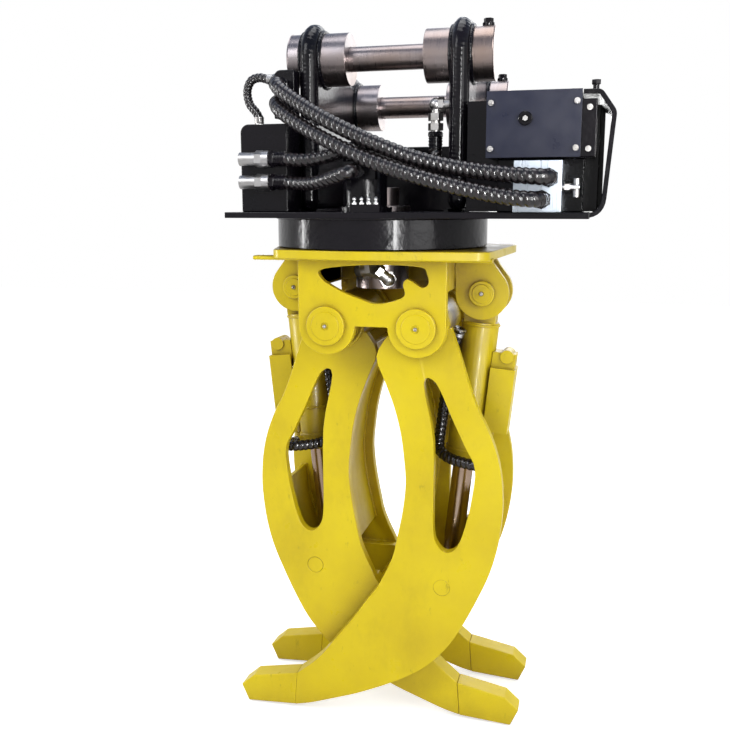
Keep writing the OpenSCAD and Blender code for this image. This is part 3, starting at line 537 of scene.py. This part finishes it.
def wrap_rubber(name, colour, dust_and_sheen):
    """Sleeved hose: glossy black, with a lighter tint on the crowns of the turns by a stored attribute,
    partly a powdery film and partly painted sheen.
    """
    n = Nodes(name, colour)
    crown = n.add("Attribute", attribute_name="crown").outputs["Fac"]
    spots = n.ramp(n.noise(60, 6, 0.7), (0.35, 0.25), (0.7, 1.0))
    # powdery film and painted sheen: the crowns of the turns lighten towards the pinkish tint, in spots
    crown_dust_and_sheen = n.mix(1.0, n.ramp(crown, (0.25, 0.0), (0.95, 0.85)), spots, "MULTIPLY")
    n.to("Base Color", n.mix(crown_dust_and_sheen, tuple(colour), tuple(dust_and_sheen)))
    n.to("Roughness", n.ramp(n.noise(90, 5), (0.3, 0.12), (0.75, 0.30)))
    n.to("Normal", n.bump(n.noise(700, 3), 0.3, 0.0006))
    return n.mat


def seal_rubber(name, colour):
    """Plain dark rubber with a fine grain."""
    n = Nodes(name, colour)
    n.to("Base Color", n.mix(n.noise(40, 5), tuple(colour), tuple(c * 2.2 for c in colour)))
    n.to("Roughness", n.ramp(n.noise(60, 4), (0.3, 0.45), (0.7, 0.7)))
    n.to("Normal", n.bump(n.noise(500, 3), 0.3, 0.0005))
    return n.mat


class GrappleFinish(bpy.types.PropertyGroup):
    """Colours of the finishes."""
    yellow: bpy.props.FloatVectorProperty(name="Yellow enamel", description="Colour of turret and jaws",
                                          subtype="COLOR", size=3, min=0, max=1,
                                          default=(0.70, 0.55, 0.005))
    yellow_shade: bpy.props.FloatVectorProperty(name="Yellow in wear", description="Duller tint of enamel",
                                                subtype="COLOR", size=3, min=0, max=1,
                                                default=(0.60, 0.45, 0.005))
    # the brown tint of the smears and of the painted shade in corners and creases
    dirt_and_shade: bpy.props.FloatVectorProperty(name="Dirt", description="Colour that gathers in the corners",
                                        subtype="COLOR", size=3, min=0, max=1, default=(0.16, 0.075, 0.015))
    black: bpy.props.FloatVectorProperty(name="Black enamel", description="Colour of the bracket",
                                         subtype="COLOR", size=3, min=0, max=1, default=(0.004, 0.004, 0.006))
    steel: bpy.props.FloatVectorProperty(name="Turned steel", description="Colour of the bosses and pins",
                                         subtype="COLOR", size=3, min=0, max=1, default=(0.25, 0.23, 0.24))
    steel_warm: bpy.props.FloatVectorProperty(name="Tarnish", description="Warm tint on bare steel",
                                              subtype="COLOR", size=3, min=0, max=1,
                                              default=(0.23, 0.155, 0.115))


class GrappleShape(bpy.types.PropertyGroup):
    """Sizes of the dressing."""
    edge: bpy.props.FloatProperty(name="Plate edge radius", description="Rounding of cut plate edges",
                                  unit="LENGTH", min=0.0005, max=0.01, default=0.003)
    rim: bpy.props.FloatProperty(name="Ear rim radius", description="Rounding of the ears' thick rims",
                                 unit="LENGTH", min=0.002, max=0.027, default=0.026)
    wrap: bpy.props.FloatProperty(name="Wrap pitch", description="Distance between turns of the hose wrap",
                                  unit="LENGTH", min=0.01, max=0.04, default=0.018)
    weld: bpy.props.FloatProperty(name="Weld size", description="Radius of the weld beads",
                                  unit="LENGTH", min=0.002, max=0.012, default=0.006)


class GRAPPLE_OT_finishes(bpy.types.Operator):
    """Makes the finishes"""
    bl_idname = "grapple.finishes"
    bl_label = "Finishes"

    def execute(self, context):
        p = context.scene.grapple_finish
        # the yellow enamel gets painted shade in its corners and creases
        FINISH["yellow_paint"] = paint("Yellow enamel", p.yellow, p.yellow_shade, p.dirt_and_shade, rough=0.34,
                                       coat=0.05, wave=0.3, shade_and_grime=0.9, gloss=0.3)
        FINISH["black_paint"] = paint("Black enamel", p.black, (0.008, 0.006, 0.009), p.dirt_and_shade, rough=0.16,
                                      coat=0.08, wave=0.8, shade_and_grime=0, gloss=0.14)
        # the blue tints of the housing enamel are a painted reflection of blue sky on black paint
        FINISH["housing_paint_sky_reflection"] = paint("Housing enamel", (0.009, 0.012, 0.034), (0.013, 0.015, 0.036),
                                        p.dirt_and_shade, rough=0.3, coat=0.12, wave=0.08, shade_and_grime=0, gloss=0.25)
        FINISH["turned_steel"] = turned_metal("Turned steel", p.steel, p.steel_warm, rough=0.30, rings=420)
        FINISH["rod_chrome"] = turned_metal("Rod chrome", (0.42, 0.34, 0.27), (0.26, 0.15, 0.09),
                                            rough=0.2, rings=260, along="z")
        FINISH["zinc_plate"] = turned_metal("Zinc plate", (0.40, 0.40, 0.41), (0.26, 0.23, 0.19),
                                            rough=0.34, rings=60, along="none")
        FINISH["bare_aluminium"] = turned_metal("Milled aluminium", (0.50, 0.56, 0.63), (0.42, 0.45, 0.5),
                                                rough=0.3, rings=200)
        # the pinkish tint on the crowns of the wrap is a powdery film and painted sheen
        FINISH["hose_wrap"] = wrap_rubber("Hose wrap", (0.003, 0.0025, 0.003), (0.034, 0.026, 0.028))
        FINISH["seal"] = seal_rubber("Seal rubber", (0.012, 0.012, 0.012))
        return {"FINISHED"}


class GRAPPLE_OT_plates(bpy.types.Operator):
    """Rounds the edges of the rigid pieces and gives every solid its finish"""
    bl_idname = "grapple.plates"
    bl_label = "Rigid pieces"

    def execute(self, context):
        p = context.scene.grapple_shape
        for node in NODES:
            slot = SLOTS[node]
            NODES[node].data.materials.clear()
            NODES[node].data.materials.append(FINISH[slot])
            if slot == "hose_wrap" or node in NOT_ROUNDED:
                continue
            finish = None
            if node.startswith(("rod_pin", "cyl_pin", "hinge_shaft")):
                finish = "yellow_paint"
            elif node == "housing_cover":
                # the cover takes the enamel with the painted sky reflection
                finish = "housing_paint_sky_reflection"
            rounded(node, p.edge / MM if "paint" in slot else SMALL_EDGE, slot, finish)
        for node, x in (("ear_left", -EAR_X), ("ear_right", EAR_X)):
            line = inset(outline_of(node), p.rim / MM)
            path = np.column_stack([np.full(len(line), float(x)), line])
            shells = [prism(line, x - EAR_HALF, x + EAR_HALF), rim_build(path, p.rim / MM * 1.02, 5)]
            piece(node + "_welded", shells, "bracket", "black_paint", (node,), 50)
        return {"FINISHED"}


def wrapped(path, d, pitch, strands=2, hand=1):
    """Hose in a spiral sleeve: the phase is distance / pitch less hand times strands times the share of a
    turn, and the radius is a core plus an arch across each strand. Without strands it is ringed. Also
    gives how high each point stands on its arch."""
    q, s = even(path, pitch / 9)
    a = np.linspace(0, 2 * np.pi, HOSE_SIDES, endpoint=False)
    phase = (s[:, None] / pitch - hand * strands * a[None] / (2 * np.pi)) % 1.0
    arch = np.clip(np.sin(np.pi * phase), 0, 1) ** 0.8
    _, side, up = frames(q)
    r = d * (0.43 + 0.07 * arch)
    p = q[:, None] + r[..., None] * (np.cos(a)[None, :, None] * side[:, None]
                                     + np.sin(a)[None, :, None] * up[:, None])
    return shell(p), arch.reshape(-1)


def add_crown(obj, crown):
    """Stores how high each point stands on the sleeve, for the finish."""
    obj.data.attributes.new("crown", "FLOAT", "POINT").data.foreach_set("value", crown.astype(np.float32))


def ferrule(origin, axis, r, long):
    """Crimped sleeve with three pressed rings, collar and hexagon, from the hose's mouth outwards."""
    o, v = np.asarray(origin, float), np.asarray(axis, float) / np.linalg.norm(axis)
    prof = [(0, r * 0.72), (1, r * 1.02)]
    for k in range(3):
        a = 4 + k * long * 0.2
        prof += [(a, r * 1.02), (a + 2, r * 0.94), (a + long * 0.11, r * 0.94),
                 (a + long * 0.13, r * 1.02)]
    prof += [(long * 0.66, r * 1.02), (long * 0.7, r * 0.8), (long * 0.74, r * 0.8)]
    return [turned(o, v, prof, 32), nut(o + v * long * 0.72, v, long * 0.28, r * 1.95)]


class GRAPPLE_OT_hoses(bpy.types.Operator):
    """Makes the wrapped hoses and their crimped ends"""
    bl_idname = "grapple.hoses"
    bl_label = "Hoses"

    def execute(self, context):
        pitch = context.scene.grapple_shape.wrap / MM
        ends, small = [], []
        for name, d in (("hose_upper", 42), ("hose_lower", 42), ("hose_left", 38), ("hose_motor", 38),
                        ("loop_hose", 26)):
            path = route(name, BASE_TOP)
            (v, f), crown = wrapped(path, d, pitch if d > 30 else pitch * 0.6)
            obj = piece(name + "_wrapped", [(v, f)], "bracket", "hose_wrap", (name,), 60)
            add_crown(obj, crown)
            long = 46 if d > 30 else 26
            for end, nxt in ((path[0], path[6]), (path[-1], path[-7])):
                v = (nxt - end) / np.linalg.norm(nxt - end)
                (ends if d > 30 else small).extend(ferrule(end + v * (long + 2), -v, d * 0.53, long))
        piece("hose_ends", ends, "bracket", "black_paint")
        piece("loop_hose_ends", small, "bracket", "zinc_plate")
        for side, tag in SIDES:
            path = at_cylinder(side, route("hose_barrel", -BARREL_L))
            (v, f), crown = wrapped(path, 34, pitch * 0.9, 1, side)
            obj = piece("hose_barrel_%s_wrapped" % tag, [(v, f)], tag + "_cylinder", "hose_wrap",
                        ("hose_barrel_" + tag,), 60)
            add_crown(obj, crown)
            small = []
            for end, nxt in ((path[0], path[5]), (path[-1], path[-5])):
                v = (nxt - end) / np.linalg.norm(nxt - end)
                small += ferrule(end + v * 26, -v, 16.5, 26)
            piece("hose_barrel_%s_ends" % tag, small, tag + "_cylinder", "zinc_plate")
        return {"FINISHED"}


class GRAPPLE_OT_welds(bpy.types.Operator):
    """Lays the weld beads"""
    bl_idname = "grapple.welds"
    bl_label = "Welds"

    def execute(self, context):
        r = context.scene.grapple_shape.weld / MM
        black = []
        for y, z in PIN_LINES:
            for x in BOSS_WELDS_X:
                ring = circle((x, y, z), (1, 0, 0), BOSS_R + r * 0.4)
                black.append(bead(ring, r * 1.1, True, seed=x + 500))
        for x in EAR_WELDS_X:
            black.append(bead([(x, y, BASE_TOP + 1) for y in EAR_WELD_Y], r * 1.2, seed=7))
        black.append(bead(circle((*SLEW, BASE_BOT), (0, 0, 1), DRUM_R), r * 0.9, True))
        piece("bracket_welds", black, "bracket", "black_paint", angle=80)
        yellow = [bead([(x, y, FLANGE_WELD_Z) for x in FLANGE_WELD_X], r, seed=seed)
                  for y, seed in FLANGE_WELDS_Y]
        piece("turret_welds", yellow, "turret", "yellow_paint", angle=80)
        for side, tag in SIDES:
            beads = [bead(circle((0, y, 0), (0, 1, 0), JAW_HUB_R), r * 0.9, True, seed=11)
                     for y in (0, JAW_W)]
            for line in (catmull(INNER[1:10], 6), catmull(OUTER[3:9], 6)):
                t = np.gradient(line, axis=0)
                t /= np.linalg.norm(t, axis=1)[:, None]
                normal = np.stack([-t[:, 1], t[:, 0]], 1)
                for off in (30, 46):
                    q = line + off * normal
                    for y in (JAW_T + 0.5, JAW_W - JAW_T - 0.5):
                        run = np.stack([q[:, 0], np.full(len(q), y), q[:, 1]], 1)
                        beads.append(bead(run, r * 0.8, seed=off))
            piece("jaw_%s_welds" % tag, mapped(at_jaw, side, beads), tag + "_jaw", "yellow_paint", angle=80)
        return {"FINISHED"}


class GRAPPLE_OT_bracket_details(bpy.types.Operator):
    """Adds boss rims, screws, the cover's plug, the bent guard, its webs and the nipples to the bracket"""
    bl_idname = "grapple.bracket_details"
    bl_label = "Bracket details"

    def execute(self, context):
        rims, screws, bright = [], [], []
        profile = [(0, 72), (0.5, 76), (2.5, 76.5), (3.6, 75), (3.9, 66)]
        for y, z in PIN_LINES:
            for x, v in BOSS_ENDS:
                rims.append(turned((x, y, z), (v, 0, 0), profile, 96))
        piece("boss_rims", rims, "bracket", "turned_steel")
        profile = [(0, 70), (0.5, 74), (2, 75.5), (39, 75.5)]
        sleeve = turned((-287, PIN_PITCH, -PIN_DROP), (1, 0, 0), profile, 96)
        piece("boss_sleeve", [sleeve], "bracket", "black_paint")
        for x in COVER_SCREWS_X:
            for z in COVER_SCREWS_Z:
                bright += cap_screw((x, COVER_Y, z), (0, -1, 0), 5.5, 7)
        for z in (-280, -178):
            bright += cap_screw((579, -250, z), (0, -1, 0), 5.5, 7)
        for x, y in ((345, -180), (535, -180), (345, 30), (535, 30)):
            screws += cap_screw((x, y, -133), (0, 0, 1), 9, 9)
        screws += [turned((592, -228, -134), (0, 0, 1), [(0, 8), (12, 8)], 20),
                   nut((592, -228, -122), (0, 0, 1), 12, 22)]
        piece("housing_screws", screws, "bracket", "black_paint")
        piece("cover_screws", bright, "bracket", "zinc_plate")
        profile = [(0, 18), (1.5, 18), (3, 16), (3, 10), (1, 9.4), (1, 0.2)]
        plug = [turned((PLUG_X, COVER_Y + 3, PLUG_Z), (0, -1, 0), profile, 32)]
        piece("housing_plug", plug, "bracket", "black_paint")
        hub = nut((PLUG_X, COVER_Y + 2, PLUG_Z), (0, -1, 0), 5, 13)
        piece("housing_plug_hub", [hub], "bracket", "zinc_plate")
        line = np.vstack([bent([(562, -139), (604, -139), (640, -190), (631, -306)], 9),
                          bent([(631, -306), (620, -449), (480, -449)], 46)[1:]])
        piece("side_guard_band", [band(line, 12, -246, 60)], "bracket", "black_paint", ("side_guard",), 30)
        web = [box_shell((598, 10, -439), (618, 18, -150)), box_shell((248, -104, -439), (352, -90, -140)),
               box_shell((560, -120, -439), (606, -108, -160))]
        piece("guard_web", web, "bracket", "black_paint")
        top = BASE_TOP + BLOCK_HIGH
        base = [box_shell((-40, BLOCK_Y, BASE_TOP), (44, BLOCK_Y + 28, top), 3)]
        piece("grease_block_body", base, "bracket", "black_paint", ("grease_block",))
        profile = [(6, 4.4), (11, 3.4), (13, 5.4), (17, 5.2), (20, 3.2), (21.6, 1.4)]
        tips = []
        for k in range(4):
            o = (-28 + 20 * k, BLOCK_Y + 14, top)
            tips += [nut(o, (0, 0, 1), 6, 12), turned(o, (0, 0, 1), profile, 16)]
        piece("grease_nipples", tips, "bracket", "zinc_plate", ("grease_block",))
        return {"FINISHED"}


class GRAPPLE_OT_turret_details(bpy.types.Operator):
    """Adds cap faces and nipples to the turret's pins, and cover plates inside its window"""
    bl_idname = "grapple.turret_details"
    bl_label = "Turret details"

    def execute(self, context):
        caps, nipples = [], []
        spots = [(s * HINGE_X, y, HINGE_Z, v, HINGE_CAP_R) for s in (-1, 1) for y, v in CAP_Y]
        spots += [(s * CYL_X, JAW_Y[0 if s > 0 else 1] + JAW_W / 2 + v * CYL_CAP_OUT, CYL_Z, v, CYL_CAP_R)
                  for s in (-1, 1) for v in (-1, 1)]
        tip = [(0, 3.2), (4, 2.2), (5, 3), (7, 2.6), (8, 1.2)]
        for x, y, z, v, r in spots:
            face = [(0, r * 0.74), (0.3, r * 0.74), (2.4, r * 0.70), (2.4, r * 0.2), (0.5, r * 0.17),
                    (0.4, 0.3)]
            caps.append(turned((x, y, z), (0, v, 0), face, 48))
            nipples += [nut((x, y + v * 0.5, z), (0, v, 0), 5, 10),
                        turned((x, y + v * 5, z), (0, v, 0), tip, 12)]
        piece("pin_cap_faces", caps, "turret", "yellow_paint")
        cover = [box_shell((-206, 192, -688), (206, 200, -572), 2)]
        for x in (-208, 200):
            cover.append(box_shell((x, -186, -664), (x + 8, 192, -572), 2))
        for x in (-190, 190):
            for z in (-672, -594):
                cover += cap_screw((x, 192, z), (0, -1, 0), 6, 6)
        piece("core_covers", cover, "turret", "yellow_paint")
        piece("pin_nipples", nipples, "turret", "zinc_plate")
        return {"FINISHED"}


class GRAPPLE_OT_cylinder_details(bpy.types.Operator):
    """Adds the gland ring, its screws, weld rings, the wiper and the sleeve under the guard's tube"""
    bl_idname = "grapple.cylinder_details"
    bl_label = "Cylinder details"

    def execute(self, context):
        down = (0, 0, -1)
        for side, tag in SIDES:
            ring = [(0.1, 58), (3, 58), (5, 56), (5, 44), (7, 43), (7, 34), (0.1, 34)]
            gland = [turned((0, 0, -BARREL_L), down, ring)]
            for k in range(8):
                a = math.radians(22.5 + 45 * k)
                gland += cap_screw((50 * math.cos(a), 50 * math.sin(a), -BARREL_L - 5), down, 4.2, 5)
            for z in (-BARREL_L + 42, -BARREL_L + 130, -96):
                gland.append(bead(circle((0, 0, z), (0, 0, 1), 55.5), 3.2, True, seed=9))
            piece("gland_" + tag, mapped(at_cylinder, side, gland), tag + "_cylinder", "yellow_paint",
                  angle=40)
            wiper = [turned((0, 0, -BARREL_L - 7), down, [(0, 42), (3, 41), (4, 37), (4, 33), (0, 33)])]
            piece("wiper_" + tag, mapped(at_cylinder, side, wiper), tag + "_cylinder", "hose_wrap",
                  finish="seal")
            line = even(np.array([(69, 0, 46), (69, 0, 24), (66, 0, 2)], float) + (0, 0, -BARREL_L), 1)[0]
            (v, f), crown = wrapped(line, 24, 8, 0)
            obj = piece("guard_sleeve_" + tag, mapped(at_cylinder, side, [(v, f)]), tag + "_cylinder",
                        "yellow_paint", angle=60)
            add_crown(obj, crown)
        return {"FINISHED"}


class GRAPPLE_OT_stage(bpy.types.Operator):
    """Sets the camera, the pale floor and the soft light"""
    bl_idname = "grapple.stage"
    bl_label = "Stage"

    def execute(self, context):
        scene = context.scene
        cam = bpy.data.cameras.new("Camera")
        cam.sensor_width, cam.lens = SENSOR_MM, FOCAL_PX * SENSOR_MM / PHOTO_PX
        cam.clip_end = 60
        obj = bpy.data.objects.new("Camera", cam)
        obj.location = CAMERA_AT
        obj.rotation_euler = [math.radians(v) for v in CAMERA_TURN]
        scene.collection.objects.link(obj)
        scene.camera = obj
        mesh = bpy.data.meshes.new("Floor")
        corners = ((-1, -1), (1, -1), (1, 1), (-1, 1))
        mesh.from_pydata([(x * FLOOR_HALF, y * FLOOR_HALF, FLOOR_Z) for x, y in corners], [], [(0, 1, 2, 3)])
        floor = bpy.data.objects.new("Floor", mesh)
        scene.collection.objects.link(floor)
        mat = bpy.data.materials.new("Pale floor")
        mat.use_nodes = True
        t = mat.node_tree
        bsdf = t.nodes["Principled BSDF"]
        bsdf.inputs["Base Color"].default_value = (0.82, 0.82, 0.82, 1)
        bsdf.inputs["Roughness"].default_value = 0.9
        bsdf.inputs["Specular IOR Level"].default_value = 0.0
        mesh.materials.append(mat)
        glow = t.nodes.new("ShaderNodeEmission")
        glow.inputs["Strength"].default_value = FLOOR_LIFT
        seen = t.nodes.new("ShaderNodeLightPath")
        lift = t.nodes.new("ShaderNodeMixShader")
        add = t.nodes.new("ShaderNodeAddShader")
        t.links.new(bsdf.outputs[0], add.inputs[0])
        t.links.new(glow.outputs[0], add.inputs[1])
        t.links.new(seen.outputs["Is Camera Ray"], lift.inputs[0])
        t.links.new(bsdf.outputs[0], lift.inputs[1])
        t.links.new(add.outputs[0], lift.inputs[2])
        t.links.new(lift.outputs[0], t.nodes["Material Output"].inputs["Surface"])
        world = bpy.data.worlds.new("Soft light")
        scene.world = world
        world.use_nodes = True
        wt = world.node_tree
        back = wt.nodes["Background"]
        path = wt.nodes.new("ShaderNodeLightPath")
        seen = wt.nodes.new("ShaderNodeMath")
        seen.operation = "MAXIMUM"
        both = wt.nodes.new("ShaderNodeMath")
        both.operation = "MAXIMUM"
        wt.links.new(path.outputs["Is Camera Ray"], seen.inputs[0])
        wt.links.new(path.outputs["Is Glossy Ray"], seen.inputs[1])
        wt.links.new(seen.outputs[0], both.inputs[0])
        wt.links.new(path.outputs["Is Transmission Ray"], both.inputs[1])
        coord = wt.nodes.new("ShaderNodeTexCoord")
        split = wt.nodes.new("ShaderNodeSeparateXYZ")
        height = wt.nodes.new("ShaderNodeMapRange")
        height.inputs["From Min"].default_value = -1.0
        ramp = wt.nodes.new("ShaderNodeValToRGB")
        for k, (place, colour) in enumerate(SKY):
            e = ramp.color_ramp.elements[k] if k < 2 else ramp.color_ramp.elements.new(place)
            e.position, e.color = place, (*colour, 1)
        wt.links.new(coord.outputs["Generated"], split.inputs[0])
        wt.links.new(split.outputs["Z"], height.inputs["Value"])
        wt.links.new(height.outputs[0], ramp.inputs[0])
        mix = wt.nodes.new("ShaderNodeMix")
        mix.data_type = "RGBA"
        mix.inputs[COLOUR_A].default_value = DIFFUSE_SKY
        wt.links.new(ramp.outputs[0], mix.inputs[COLOUR_B])
        wt.links.new(both.outputs[0], mix.inputs[0])
        wt.links.new(mix.outputs[COLOUR_OUT], back.inputs["Color"])
        for name, place, aim, size, power in LAMPS:
            lamp = bpy.data.lights.new(name, "AREA")
            lamp.shape, (lamp.size, lamp.size_y), lamp.energy = "RECTANGLE", size, power
            ob = bpy.data.objects.new(name, lamp)
            v = np.array(aim, float) - np.array(place, float)
            ob.location = place
            ob.visible_diffuse = "strip" not in name
            ob.rotation_euler = (math.atan2(math.hypot(v[0], v[1]), -v[2]), 0, math.atan2(-v[0], v[1]))
            scene.collection.objects.link(ob)
        scene.view_settings.view_transform = "Standard"
        return {"FINISHED"}


OPERATORS = (GRAPPLE_OT_finishes, GRAPPLE_OT_plates, GRAPPLE_OT_hoses, GRAPPLE_OT_welds,
             GRAPPLE_OT_bracket_details, GRAPPLE_OT_turret_details,
             GRAPPLE_OT_cylinder_details, GRAPPLE_OT_stage)


class GRAPPLE_PT_panel(bpy.types.Panel):
    """Shows the colours, the sizes and the steps that dress the grapple"""
    bl_label = "Grapple"
    bl_idname = "GRAPPLE_PT_panel"
    bl_space_type = "VIEW_3D"
    bl_region_type = "UI"
    bl_category = "Grapple"

    def draw(self, context):
        for group in (context.scene.grapple_finish, context.scene.grapple_shape):
            for key in group.__annotations__:
                self.layout.prop(group, key)
        for step in OPERATORS:
            self.layout.operator(step.bl_idname)


CLASSES = (GrappleFinish, GrappleShape, *OPERATORS, GRAPPLE_PT_panel)


def register():
    for c in CLASSES:
        bpy.utils.register_class(c)
    bpy.types.Scene.grapple_finish = bpy.props.PointerProperty(type=GrappleFinish)
    bpy.types.Scene.grapple_shape = bpy.props.PointerProperty(type=GrappleShape)


def unregister():
    del bpy.types.Scene.grapple_shape
    del bpy.types.Scene.grapple_finish
    for c in reversed(CLASSES):
        bpy.utils.unregister_class(c)


def main():
    """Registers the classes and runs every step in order."""
    register()
    for step in OPERATORS:
        group, name = step.bl_idname.split(".")
        getattr(getattr(bpy.ops, group), name)()


if __name__ == "__main__":
    main()
